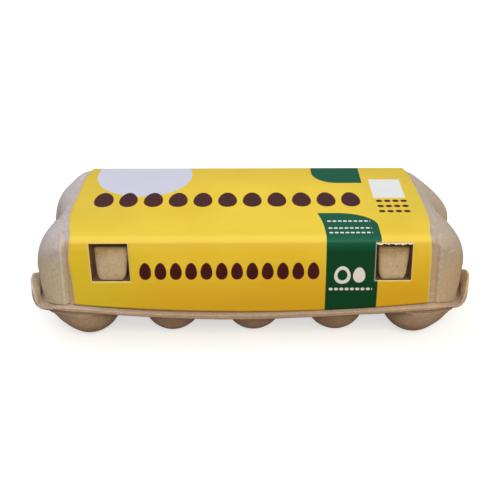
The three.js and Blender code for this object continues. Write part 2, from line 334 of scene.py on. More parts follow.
# The walk starts at the front left, goes along the front, round the right end, along the
# back and round the left end. Each station has an axis point, an outward direction, the
# share of end shape (0 on a long side, 1 on an end) and of the hollow between end lobes.
def walkRound(frontPlaces, sideColumns, cornerColumns, endColumns):
    axisX, axisY = carton["axisX"], carton["axisY"]
    quarter = np.arange(cornerColumns) / cornerColumns
    along = np.arange(endColumns) / endColumns
    backPlaces = np.linspace(axisX, -axisX, sideColumns, endpoint=False)
    parts = []

    def join(*values):
        size = max(np.size(value) for value in values)
        parts.append([np.broadcast_to(np.asarray(value, float), size) for value in values])

    def corner(signX, signY, outOfEnd):
        turn = 1 - quarter if outOfEnd else quarter
        angle = turn * np.pi / 2
        join(signX * axisX, signY * axisY, signX * np.sin(angle), signY * np.cos(angle),
             turn, 0, signY > 0)

    def end(signX):
        y = signX * mix(-axisY, axisY, along)
        join(signX * axisX, y, signX, 0, 1, 0.5 + 0.5 * np.cos(np.pi * y / axisY), y > 0)

    join(frontPlaces, -axisY, 0, -1, 0, 0, False)
    corner(1, -1, False)
    end(1)
    corner(1, 1, True)
    join(backPlaces, axisY, 0, 1, 0, 0, True)
    corner(-1, 1, False)
    end(-1)
    corner(-1, -1, True)
    names = ("sx", "sy", "dx", "dy", "turn", "hollow", "back")
    columns = (np.concatenate(column) for column in zip(*parts))
    return SimpleNamespace(**dict(zip(names, columns)))


# A figure of the front or back that passes into the end's figure round the corner
def sideToEnd(figures, at):
    side = np.where(at.back > 0, figures["back"], figures["front"])
    return mix(side, figures["end"], smooth(0, 1, at.turn))


# Parting height = middle height + rise times the square of x over the half length,
# fading out round the corners; the front sags a little on the left
def partingZ(at):
    rise = carton["partingRise"] * (np.abs(at.sx) / carton["axisX"]) ** 2
    sag = carton["sag"] * np.sin(np.pi * at.sx / carton["axisX"]) * (at.sy < 0)
    return carton["partingMid"] + rise * (1 - smooth(0.16, 0.7, at.turn)) + sag


# A point at a radius from its axis, pulled in where the end is hollow
def placeRow(at, radius, z):
    cut = at.hollow * mix(carton["hollowLow"], carton["hollowHigh"], smooth(40, 66.8, z))
    r = radius - cut
    return np.stack(np.broadcast_arrays(at.sx + at.dx * r, at.sy + at.dy * r, z), -1)


# A row drawn in towards the middle of the carton, at its own height
def shrinkRow(row, share):
    return row * np.array([share, share, 1.0])


lid = {
    "top": 66.8, "wallTop": {"front": 63.4, "end": 41.4, "back": 62.8},
    "foot": {"front": 24.6, "end": 24.9, "back": 25.0},
    "shoulder": {"front": 18.9, "end": 25.8, "back": 22.2},
    "run": {"front": 4.4, "end": 20.0, "back": 4.4},
    "tuckFront": 0.6, "tuckBack": 2.4, "power": {"side": 2.2, "front": 2.05, "back": 1.75},
    "panelHalf": 104.6, "panelStep": 1.2,
    "wallRows": 44, "shoulderRows": 46, "unevenness": 0.26,
    "lobeLine": 105.0, "lobeSweep": 14.0,    # where the lobes' groove starts, how far it sweeps
    "lobeRaise": 0.35, "lobeBead": 0.4, "lobeGroove": 0.9,
    "rearLean": {"left": 0.4, "right": 2.3, "top": -1.0}, "rearDip": 1.5,
}
latch = {
    "places": [(-79.0, 21.4), (79.5, 20.2)],  # middle and width of each window
    "top": 64.3, "bottom": 42.6, "depth": 6.4, "lidTop": 64.9,
    "over": 1.1,                             # how far the opening runs past the wall
    "lidMore": 0.5,                          # the opening in the lid is a little larger
}
frontClimb = lid["wallTop"]["front"] - carton["partingMid"] - carton["gap"]
frontLean = math.atan2(lid["foot"]["front"] - lid["shoulder"]["front"], frontClimb)


# Lid point = radius, plus the step of the end lobes beside the label panel, less the
# tuck of the corners
def lidPoint(at, radius, z):
    x = np.abs(at.sx + at.dx * radius)
    half = lid["panelHalf"]
    step = smooth(half - 1.2, half + 1.2, x) * (1 - smooth(59, 65, z))
    step = step * lid["panelStep"] * (1 - smooth(0.2, 0.6, at.turn))
    most = np.where(at.back > 0, lid["tuckBack"], lid["tuckFront"])
    tuck = most * np.sin(np.pi * at.turn) ** 2 * smooth(23, lid["top"] - 8, z)
    return placeRow(at, radius + step - tuck, z)


# Wall radius runs straight from foot to shoulder with height. Rows near the foot follow
# the arched parting line, rows from 40 mm up are level.
def lidWall(at, share):
    wallTop = sideToEnd(lid["wallTop"], at)
    level = mix(lidLow, wallTop, share)
    z = level + (partingZ(at) - carton["partingMid"]) * (1 - smooth(lidLow, 40, level))
    climb = (z - lidLow) / (wallTop - lidLow)
    return lidPoint(at, mix(sideToEnd(lid["foot"], at), sideToEnd(lid["shoulder"], at), climb), z)


# Shoulder = a quarter of a rounded box: inward run times 1 - cos^p, rise times sin^p
def lidShoulder(at, degrees):
    angle, powers = math.radians(degrees), lid["power"]
    end = mix(powers["front"], powers["back"], smooth(-15, 15, at.sy))
    power = 2 / mix(powers["side"], end, smooth(0, 1, at.turn))
    wallTop = sideToEnd(lid["wallTop"], at)
    inward = sideToEnd(lid["run"], at) * (1 - math.cos(angle) ** power)
    z = wallTop + (lid["top"] - wallTop) * math.sin(angle) ** power
    return lidPoint(at, sideToEnd(lid["shoulder"], at) - inward, z)


# Distance across from the nearest window, less than 0 inside it
def beyondWindows(x):
    return np.minimum(*[np.abs(x - middle) - wide / 2 for middle, wide in latch["places"]])


# Height of the end lobes over the panel under the label: a groove, a small bead and a
# raised field, by distance from a line that runs beside the label and then out across
# the shoulder to the hollow of the end
def lobeRelief(rows):
    x, y = np.abs(rows[..., 0]), np.abs(rows[..., 1])
    line = lid["lobeLine"] + lid["lobeSweep"] * np.clip((42 - y) / 38, 0, 1) ** 1.6
    far = x - line
    bead = np.exp(-((far - 0.9) / 0.75) ** 2)
    groove = np.exp(-((far + 1.1) / 1.0) ** 2)
    field = smooth(-0.4, 1.6, far)
    height = lid["lobeRaise"] * field + lid["lobeBead"] * bead - lid["lobeGroove"] * groove
    fade = smooth(101.5, 104, x) * smooth(24.5, 30, rows[..., 2])
    fade = fade * np.where(rows[..., 0] > 0, 0.6, 1)
    return height * fade * (1 - smooth(-22, -6, rows[..., 1]))


# Lid = rows round the carton from the middle of the top down to a foot turned in under
# the wall, moved along their outward direction by relief less unevenness, with the wall
# behind each window sunk straight in
def makeLid():
    more = 0.04
    cuts = [middle + way * (wide / 2 + latch["lidMore"] + jog)
            for middle, wide in latch["places"] for way in (-1, 1) for jog in (-more, more)]
    front = np.unique(np.concatenate([alongFront(120), cuts]))
    at = walkRound(front, 110, 64, 84)
    shares = np.linspace(1, 0, lid["wallRows"])
    sill = latch["bottom"] - latch["lidMore"]
    windowShares = [(sill + jog - lidLow) / frontClimb for jog in (-more, more)]
    shares = np.unique(np.concatenate([shares, windowShares]))[::-1]
    degrees = 90 * np.linspace(1, 0, lid["shoulderRows"], endpoint=False) ** 1.15
    shoulder = [lidShoulder(at, value) for value in degrees]
    wall = [lidWall(at, value) for value in shares]
    cap = [shrinkRow(shoulder[0], share) for share in (0.2, 0.5, 0.8)]
    foot = wall[-1]
    under = placeRow(at, 21.8, partingZ(at) + carton["gap"])
    seat = placeRow(at, 21.7, np.full_like(at.sx, carton["partingMid"]))
    rows = [*cap, *shoulder, *wall[:-1]]
    corner = roundRows([wall[-2], foot, under, seat, shrinkRow(seat, 0.4)], [0, 0.7, 0.3, 0.3])
    rows = np.stack([*rows, *corner[1:]])
    seen = smooth(103, 107, np.abs(rows[..., 0]))
    waves = unevenness(rows, 26, 4) * 0.6 + unevenness(rows, 9, 5) * 0.4
    lift = lobeRelief(rows) - lid["unevenness"] * seen * (0.5 + 0.5 * waves)
    lift[-12:] = 0
    rows = rows + outwards(rows) * lift[..., None]
    # the rear lobes lean: a little to the right low down, to the left at the top
    lean = smooth(-5, 20, rows[..., 1]) * smooth(99, 108, np.abs(rows[..., 0]))
    foot = np.where(rows[..., 0] > 0, lid["rearLean"]["right"], lid["rearLean"]["left"])
    rows[..., 0] += lean * mix(foot, lid["rearLean"]["top"], smooth(46, 62, rows[..., 2]))
    dip = smooth(98.5, 102, rows[..., 0]) * (1 - smooth(105, 118, rows[..., 0]))
    dip = dip * smooth(8, 30, rows[..., 1]) * smooth(50, 60, rows[..., 2])
    rows[..., 2] -= lid["rearDip"] * dip
    x, z = rows[..., 0], rows[..., 2]
    within = beyondWindows(x) < latch["lidMore"]
    within &= (at.turn < 0.01) & (at.back < 0.5) & (z > sill) & (z < latch["lidTop"])
    sink = latch["depth"] * np.array([0, math.cos(frontLean), -math.sin(frontLean)])
    rows = rows + within[..., None] * sink
    points, faces = ringSkin(rows)
    # faces sunk behind the windows take the painted shade pulp
    deep = np.concatenate([within.ravel(), [False, False]])
    picks = [int(any(deep[list(face)])) for face in faces]
    piece = makePiece("lidShell", points, faces, [lidPulp, paintedShadePulp], picks)
    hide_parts("lid")


makeLid()
print("lid ready")


tray = {
    "rimRadius": 28.5, "rimEnd": 28.2, "lip": 1.5, "lipHeight": 0.4,
    "rimMid": 2.7, "rim": 2.0,               # thickness at the middle and near the ends
    "earRadius": (31.4, 30.7), "earTop": (33.4, 34.6), "earTaper": 2.0,   # left, right
    "earRise": ((0.52, 0.86), (4, 28)), "earReach": ((0.1, 0.55), (5, 24)),
    "earFoot": (25.6, 26.0), "earFill": 4.7,  # low and high end of the fill behind the ears
    "wall": 26.6, "underside": 19.2, "arch": 0.75, "highest": 21.8, "seat": 22.0,
    "cupX": [-95.7, -46.4, 1.5, 49.9, 96.5], "cupY": 29.0,
    "foot": 5.6, "ball": 17.5, "ballShare": 0.94,
    "mouth": 21.0, "mouthZ": 22.0, "sideFlare": 0.16,
    "endCup": {"y": 30.0, "foot": 8.0, "ball": 20.2, "inner": 0.96, "outer": 0.72, "flare": 0.6},
}


# Share of a slope over the turn of a front corner that falls away along the end: the
# ears rise so, and the rim widens so towards each ear
def cornerShare(at, onTurn, onEnd):
    share = np.where(at.turn < 1, smooth(*onTurn, at.turn), smooth(*onEnd, -at.sy))
    return np.where(at.back > 0, 0, share)


# The first of a pair on the left of the carton, the second on the right
def earSide(at, pair):
    return np.where(at.sx < 0, pair[0], pair[1])


# Underside of the tray follows the parting arch at the walls, up to a limit
def undersideZ(parting):
    arched = tray["underside"] + tray["arch"] * (parting - carton["partingMid"])
    return np.minimum(arched, tray["highest"])


# Rim, lip and ears: rows of corner points carried round the carton, then rounded
def makeRim():
    at = walkRound(alongFront(110), 110, 60, 60)
    ear, reach = cornerShare(at, *tray["earRise"]), cornerShare(at, *tray["earReach"])
    parting = partingZ(at)
    plain = mix(tray["rimRadius"], tray["rimEnd"], smooth(0.4, 1, at.turn))
    outer = mix(plain, earSide(at, tray["earRadius"]), reach)
    lipTop = mix(parting + tray["lipHeight"], earSide(at, tray["earTop"]), ear)
    thin = smooth(0, 77, np.abs(at.sx)) * (at.back < 1)
    below = parting - mix(tray["rimMid"], tray["rim"], thin)
    seatZ = np.full_like(parting, carton["partingMid"] - carton["gap"])
    lipFoot = outer - tray["lip"]
    rows = [placeRow(at, radius, z) for radius, z in (
        (tray["seat"], seatZ), (tray["seat"] + 0.1, parting), (tray["earFoot"][0], parting),
        (mix(lipFoot, tray["earFoot"][1], ear), parting + tray["earFill"] * ear),
        (lipFoot, lipTop - 0.2 * ear), (outer - 0.3 * ear, lipTop),
        (outer, parting - 0.4 + 1.5 * ear), (outer - tray["earTaper"] * reach, below),
        (tray["wall"], below), (tray["wall"] - 0.8, undersideZ(parting)),
        (tray["wall"] - 12, np.full_like(parting, tray["underside"])))]
    rows = [shrinkRow(rows[0], 0.4), *rows, shrinkRow(rows[-1], 0.5)]
    rows = roundRows(rows, [0, 0.4, 0.3, 0.3, 0.8, 0.7, 0.7, 1.0, 0.9, 0.9, 0.8, 0, 0])
    waves = unevenness(rows, 22, 6) * 0.6 + unevenness(rows, 7, 7) * 0.4
    seen = smooth(23.5, 26, np.linalg.norm(
        rows[..., :2] - np.stack([at.sx, at.sy], -1), axis=-1))
    rows = rows - outwards(rows) * (0.22 * seen * (0.5 + 0.5 * waves))[..., None]
    return ringSkin(rows)


# Distance from a cup's centre to the outline of the tray in each direction: the nearest
# crossing of each ray with the outline's straight pieces
def outlineReach(x, y, dirX, dirY):
    at = walkRound(alongFront(40), 40, 30, 40)
    line = placeRow(at, tray["wall"] - 0.9, np.full_like(at.sx, 19.0))[:, :2]
    startX, startY = (line - [x, y]).T
    alongX, alongY = (np.roll(line, -1, axis=0) - line).T
    dirX, dirY = dirX[:, None], dirY[:, None]
    cross = dirX * alongY - dirY * alongX
    cross = np.where(np.abs(cross) < 1e-9, 1e-9, cross)
    far = (startX * alongY - startY * alongX) / cross
    share = (startX * dirY - startY * dirX) / cross
    hit = (far > 0) & (share >= -1e-6) & (share <= 1 + 1e-6)
    return np.where(hit, far, 1e3).min(axis=1)


# Half outline of a cup: flat foot, ball-shaped bottom, nearly upright wall, then a
# fillet out to the underside of the tray
def cupLine(foot, ball):
    sink = ball - math.sqrt(ball ** 2 - foot ** 2)
    angle = np.linspace(math.asin(foot / ball), math.asin(tray["ballShare"]), 16)
    radius, z = ball * np.sin(angle), ball * (1 - np.cos(angle)) - sink
    steps = np.array([0.25, 0.45, 0.6])
    wallRadius, wallZ = mix(radius[-1], tray["mouth"], steps), mix(z[-1], tray["mouthZ"], steps)
    turn = np.linspace(0, np.pi / 2, 7)[1:]
    filletRadius = wallRadius[-1] + 1.9 * (1 - np.cos(turn))
    filletZ = wallZ[-1] + (tray["underside"] + 0.05 - wallZ[-1]) * np.sin(turn)
    inner = np.array([0.25, 0.6, 0.9]) * foot
    radius = np.concatenate([inner, radius, wallRadius, filletRadius, [filletRadius[-1] - 0.6]])
    z = np.concatenate([[0, 0, 0.02], z, wallZ, filletZ, [tray["underside"] + 1.4]])
    return radius, z


# One cup: its half outline turned about its centre, flaring outwards with height, and
# held inside the outline of the tray
def cupSkin(column, sign):
    end = tray["endCup"] if column in (0, 4) else None
    x, y = tray["cupX"][column], sign * (end["y"] if end else tray["cupY"])
    angle = np.linspace(0, 2 * np.pi, 96, endpoint=False)
    dirX, dirY = np.cos(angle), np.sin(angle)
    radius, z = cupLine(end["foot"], end["ball"]) if end else cupLine(tray["foot"], tray["ball"])
    height = z[:, None] / tray["mouthZ"]
    flareX = np.ones_like(height * dirX)
    if end:
        outer = end["outer"] + end["flare"] * height
        flareX = mix(end["inner"], outer, smooth(-0.35, 0.35, dirX * np.sign(x)))
    flareY = 1 + tray["sideFlare"] * height * smooth(-0.35, 0.35, dirY * sign)
    px, py = radius[:, None] * dirX * flareX, radius[:, None] * dirY * flareY
    long = np.hypot(px, py) + 1e-9
    reach = outlineReach(x, y, dirX, dirY)[None, :]
    held = np.minimum(1, reach / long)
    px, py = x + px * held, y + py * held
    rise = carton["partingRise"] * (px / carton["axisX"]) ** 2 * (1 - smooth(104, 118, np.abs(px)))
    outer = undersideZ(carton["partingMid"] + rise) - tray["underside"]
    near = np.clip(1 - (52.8 - np.abs(py)) / 11.2, 0, 1)
    stretch = outer * near * (z[:, None] / tray["underside"]) ** 3
    rows = np.stack([px, py, z[:, None] + stretch], -1)
    waves = unevenness(rows, 16, 8) * 0.7 + unevenness(rows, 6, 9) * 0.3
    pull = 0.22 * (0.5 + 0.5 * waves) * smooth(1, 4, rows[..., 2])
    rows[..., 0] -= dirX * pull
    rows[..., 1] -= dirY * pull
    return ringSkin(rows[::-1])


# Tray = the skin of the rim and the skins of two rows of five cups under it
def makeTray():
    points, faces = makeRim()
    for column in range(5):
        for sign in (-1, 1):
            more, moreFaces = cupSkin(column, sign)
            faces += [[k + len(points) for k in face] for face in moreFaces]
            points = np.concatenate([points, more])
    piece = makePiece("trayShell", points, faces, [trayPulp])
    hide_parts("tray")


makeTray()
print("tray ready")


label = {
    "bottomLift": 0.5, "backLift": 11.7,     # lower edges above the foot of the lid
    "half": 101.0, "away": 0.32,
    "along": [-40, -27, -17, -8, 2, 8, 18, 28, 38, 59, 82, 92.5, 100],   # half widths
    "left": [100.2, 100.3, 101, 101.9, 100.7, 101.1, 103.3, 104.7, 105.3, 104, 103.4, 100.2, 100.2],
    "right": [101, 100.4, 100.4, 100.4, 99.8, 99.8, 101.9, 102.8, 102.8, 102.2, 100.8, 98.6, 98.8],
    "thick": 0.36, "wave": 0.1, "belly": 1.1, "columns": 150,
    "slant": -0.9, "printShift": 0.35,       # lean of the left window; print off the middle
    "fringe": 0.8, "ragged": 0.55, "curl": 0.5,      # torn paper at the right window
    # the low yellow is painted shade: darker lower down and to the right
    "yellow": ink(234, 202, 60), "yellowDeep": ink(229, 193, 49), "yellowPaintedShadeLow": ink(216, 170, 34),
    # the back yellow is painted shade: the top darker towards the back
    "yellowPaintedShadeBack": ink(216, 180, 62), "yellowFoldHighlight": ink(236, 208, 92),
    "yellowOuter": ink(206, 180, 61), "lemon": ink(217, 195, 48),
    # the fold yellow and the fold green are painted highlight along the front fold
    "green": ink(0, 66, 36), "greenFold": ink(4, 96, 74), "brown": ink(66, 20, 20),
    "white": ink(224, 226, 228), "mist": ink(203, 203, 224), "cut": ink(232, 220, 190),
}


# Side view of the lid under the label as height over y: the leaning front wall, the
# front fold, the flat top, the back fold and the back wall. Returns the distance along
# it from the top of the front wall, and y and z there.
def sectionLine():
    def half(side):
        sign = 1 if side == "back" else -1
        foot, shoulder = lid["foot"][side], lid["shoulder"][side]
        wallTop, run = lid["wallTop"][side], lid["run"][side]
        z = np.linspace(lidLow, wallTop, 60)[:-1]
        y = mix(foot, shoulder, (z - lidLow) / (wallTop - lidLow))
        angle = np.linspace(0, np.pi / 2, 24)
        power = 2 / lid["power"]["side"]
        foldY = shoulder - run * (1 - np.cos(angle) ** power)
        foldZ = wallTop + (lid["top"] - wallTop) * np.sin(angle) ** power
        return sign * (carton["axisY"] + np.concatenate([y, foldY])), np.concatenate([z, foldZ])

    frontY, frontZ = half("front")
    backY, backZ = half("back")
    topY = np.linspace(frontY[-1], backY[-1], 80)[1:-1]
    y = np.concatenate([frontY, topY, backY[::-1]])
    z = np.concatenate([frontZ, np.full_like(topY, lid["top"]), backZ[::-1]])
    far = np.concatenate([[0], np.cumsum(np.hypot(np.diff(y), np.diff(z)))])
    return far - far[59], y, z


# A value along a line of given points, with its corners blurred over 3 mm
def softLine(v, places, values):
    shifts = np.linspace(-3, 3, 7)
    return sum(np.interp(v + shift, places, values) for shift in shifts) / len(shifts)


# Torn paper left hanging at the top of the right window: a strip of uneven depth that
# curls outwards
def tornFringe(far, lineY, lineZ):
    middle, wide = latch["places"][1]
    across = np.linspace(-0.5, 0.5, 70)[None, :]
    t = np.linspace(0, 1, 5)[:, None]
    ragged = np.sin(across * 31 + 0.8) * 0.4 + np.sin(across * 67) * 0.25
    ragged = ragged + np.sin(across * 9) * 0.3
    v = latch["over"] - t * (label["fringe"] + label["ragged"] * ragged)
    out = label["away"] + 0.1 + label["curl"] * t ** 2 * (1 + 0.5 * ragged)
    y, z = np.interp(v, far, lineY), np.interp(v, far, lineZ)
    y, z = y - out * math.cos(frontLean), z + out * math.sin(frontLean)
    return np.stack([middle + across * wide + 0 * t, y, z], -1)


# Label = the side view carried along X, its half width bowed over the top, its lower
# edge arched and its left window leaning, a little off the lid with a slight wave
def makeLabel(labelPaper, cutPaper):
    far, lineY, lineZ = sectionLine()
    lean = math.cos(frontLean)
    wallTop = lid["wallTop"]["front"]
    lowest = (lidLow + label["bottomLift"] - wallTop) / lean
    back = far[-1] - label["backLift"]
    windowLow, windowHigh = (latch["bottom"] - wallTop) / lean, latch["over"]
    edges = [middle + way * wide / 2 for middle, wide in latch["places"] for way in (-1, 1)]
    across = np.unique(np.concatenate([
        np.linspace(-1, 1, label["columns"]), np.array(edges) / label["half"]]))
    down = np.unique(np.concatenate([
        np.linspace(lowest, windowLow, 22), np.linspace(windowLow, windowHigh, 22),
        np.linspace(windowHigh, 7, 16), np.linspace(7, 92, 44), np.linspace(92, 102, 18),
        np.linspace(102, back, 18)]))
    w, v = np.meshgrid(across, down[::-1])
    outer = np.minimum(np.abs(w) * label["half"], 112) / carton["axisX"]
    rise = carton["partingRise"] * outer ** 2
    v = v + rise * (1 - smooth(lowest, -24, v))
    y, z = np.interp(v, far, lineY), np.interp(v, far, lineZ)
    half = np.where(w < 0, softLine(v, label["along"], label["left"]),
                    softLine(v, label["along"], label["right"]))
    x = w * (label["half"] + (half - label["half"]) * smooth(0.9, 1, np.abs(w)))
    stepY, stepZ = [np.interp(v + 0.4, far, line) - np.interp(v - 0.4, far, line)
                    for line in (lineY, lineZ)]
    size = np.hypot(stepZ, stepY) + 1e-9
    points = np.stack([x, y, z], -1)
    waves = unevenness(points * [0.6, 1, 1], 34, 12)
    away = label["away"] + label["wave"] * (0.5 + 0.5 * waves)
    t = np.clip((v - lowest) / -lowest, 0, 1)
    away = away + label["belly"] * 4 * t * (1 - t)
    near = 1 - smooth(0, 7, np.abs(beyondWindows(x)))
    height = (v - windowLow) / (windowHigh - windowLow) - 0.5
    slant = label["slant"] * near * np.clip(height, -0.5, 0.5) * (x < 0)
    points = points + np.stack([slant, -stepZ / size * away, stepY / size * away], -1)
    rowCount, columnCount = w.shape
    quads = gridFaces(rowCount, columnCount, False)
    middleX, middleV = x.ravel()[quads].mean(axis=1), v.ravel()[quads].mean(axis=1)
    hole = beyondWindows(middleX) < 0
    hole &= (middleV > windowLow) & (middleV < windowHigh)
    quads = quads[~hole]
    used = np.unique(quads)
    fresh = np.zeros(points.size // 3, dtype=int)
    fresh[used] = np.arange(used.size)
    fringe = tornFringe(far, lineY, lineZ)
    torn = gridFaces(*fringe.shape[:2], False, used.size)
    faces = [*fresh[quads].tolist(), *torn.tolist()]
    picks = np.repeat([0, 1], [len(quads), len(torn)])
    points = np.concatenate([points.reshape(-1, 3)[used], fringe.reshape(-1, 3)])
    piece = makePiece("labelSheet", points, faces, [labelPaper, cutPaper], picks)
    corners = np.empty(len(piece.data.loops), dtype=np.int32)
    piece.data.loops.foreach_get("vertex_index", corners)
    for name, side, rest in (("print", x, 0.0), ("border", half - np.abs(x), 1.0)):
        places = np.full((len(points), 2), rest)
        places[:used.size] = np.stack([side, v], -1).reshape(-1, 2)[used] / 100
        layer = piece.data.uv_layers.new(name=name)
        layer.data.foreach_set("uv", places[corners].ravel())
    thick = piece.modifiers.new("thickness", "SOLIDIFY")
    thick.thickness, thick.offset = label["thick"] / 1000, 1
    thick.material_offset, thick.material_offset_rim = 1, 1
    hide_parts("label")


printed = {                                  # boxes as left, right, low and high
    "greenFront": (41.3, 70.6, -60, 4), "greenFold": (26, 71.8, -20, 31.8), "flare": 3.1,
    "greenBack": (38.6, 69.0, 72.0, 118), "square": (73.6, 92.8, 51.2, 76.8),
    # eggs as x, y, half width, half height and how much narrower at one end
    "circle": (-66.3, 83.6, 29.7, 29.7), "ring": (50.6, -17.6, 4.6, 5.3, 0.12),
    "ringWide": 0.9, "paleEgg": (60.0, -17.6, 3.4, 4.6, 0.12),
    # rows of eggs as field, pitch and egg
    "bigEggs": ((-95, 66.9, 38, 62), 14.72, (0, 49.6, 5.6, 9.4, 0.16)),
    "smallEggs": ((-64, 38.6, -22, -8), 8.55, (0, -15.0, 3.3, 5.1, 0.16)),
    # rows of dashes as field, heights, start, pitch, half width, half height and radius
    "darkRows": ((73.8, 93.4, 31, 50), (34.0, 40.6, 47.2), 74, 4.9, 1.9, 1.5, 1.4),
    "paleRows": ((43.0, 67.6, -30, 25), (21.8, 13.6, 8.3, -26.2), 42.8, 3.0, 1.1, 0.8, 0.7),
}


# Printed shapes, in millimetres across and along the label, as shares of ink
class Print:
    def __init__(self, maker):
        self.maker = maker
        flat = maker.add("UVMap", {"uv_map": "print"}).outputs["UV"]
        parts = maker.add("SeparateXYZ", Vector=flat)
        self.x = maker.sum("MULTIPLY", parts.outputs["X"], 100.0)
        self.u = maker.sum("SUBTRACT", self.x, label["printShift"])
        self.v = maker.sum("MULTIPLY", parts.outputs["Y"], 100.0)

    def edge(self, distance, soft=0.14):
        return self.maker.span(distance, -soft, soft, 1.0, 0.0, ease=False)

    # Box with rounded corners: distance outside the inner box, less the radius
    def box(self, left, right, low, high, radius=0.3, u=None):
        add, squares = self.maker.sum, []
        for place, start, end in ((u or self.u, left, right), (self.v, low, high)):
            far = add("ABSOLUTE", add("SUBTRACT", place, (start + end) / 2))
            far = add("MAXIMUM", add("SUBTRACT", far, (end - start) / 2 - radius), 0.0)
            squares.append(add("POWER", far, 2.0))
        return self.edge(add("SUBTRACT", add("SQRT", add("ADD", *squares)), radius))

    # Egg or circle: scaled distance from the middle, with one end narrower if asked
    def egg(self, x, y, wide, high, narrow=0.0, u=None, ring=0.0):
        add = self.maker.sum
        across = add("DIVIDE", add("SUBTRACT", u or self.u, x), wide)
        along = add("DIVIDE", add("SUBTRACT", self.v, y), high)
        if narrow:
            across = add("MULTIPLY", across, add("MULTIPLY_ADD", along, narrow, 1.0))
        far = add("SQRT", add("ADD", add("POWER", across, 2.0), add("POWER", along, 2.0)))
        far = add("MULTIPLY", add("SUBTRACT", far, 1.0), min(wide, high))
        if ring:
            far = add("SUBTRACT", add("ABSOLUTE", add("ADD", far, ring)), ring)
        return self.edge(far)

    # Repeats a place along u every pitch, centred on 0
    def every(self, start, pitch):
        add = self.maker.sum
        moved = add("FRACT", add("DIVIDE", add("SUBTRACT", self.u, start), pitch))
        return add("MULTIPLY", add("SUBTRACT", moved, 0.5), pitch)

    def both(self, *shares):
        return reduce(lambda one, two: self.maker.sum("MULTIPLY", one, two), shares)

    def any(self, *shares):
        return reduce(lambda one, two: self.maker.sum("MAXIMUM", one, two), shares)

    def eggs(self, field, pitch, shape):
        return self.both(self.egg(*shape, u=self.every(field[0], pitch)), self.box(*field))

    def dashes(self, field, heights, start, pitch, wide, tall, radius):
        u = self.every(start, pitch)
        rows = [self.box(-wide, wide, at - tall, at + tall, radius, u=u) for at in heights]
        return self.both(self.box(*field), self.any(*rows))
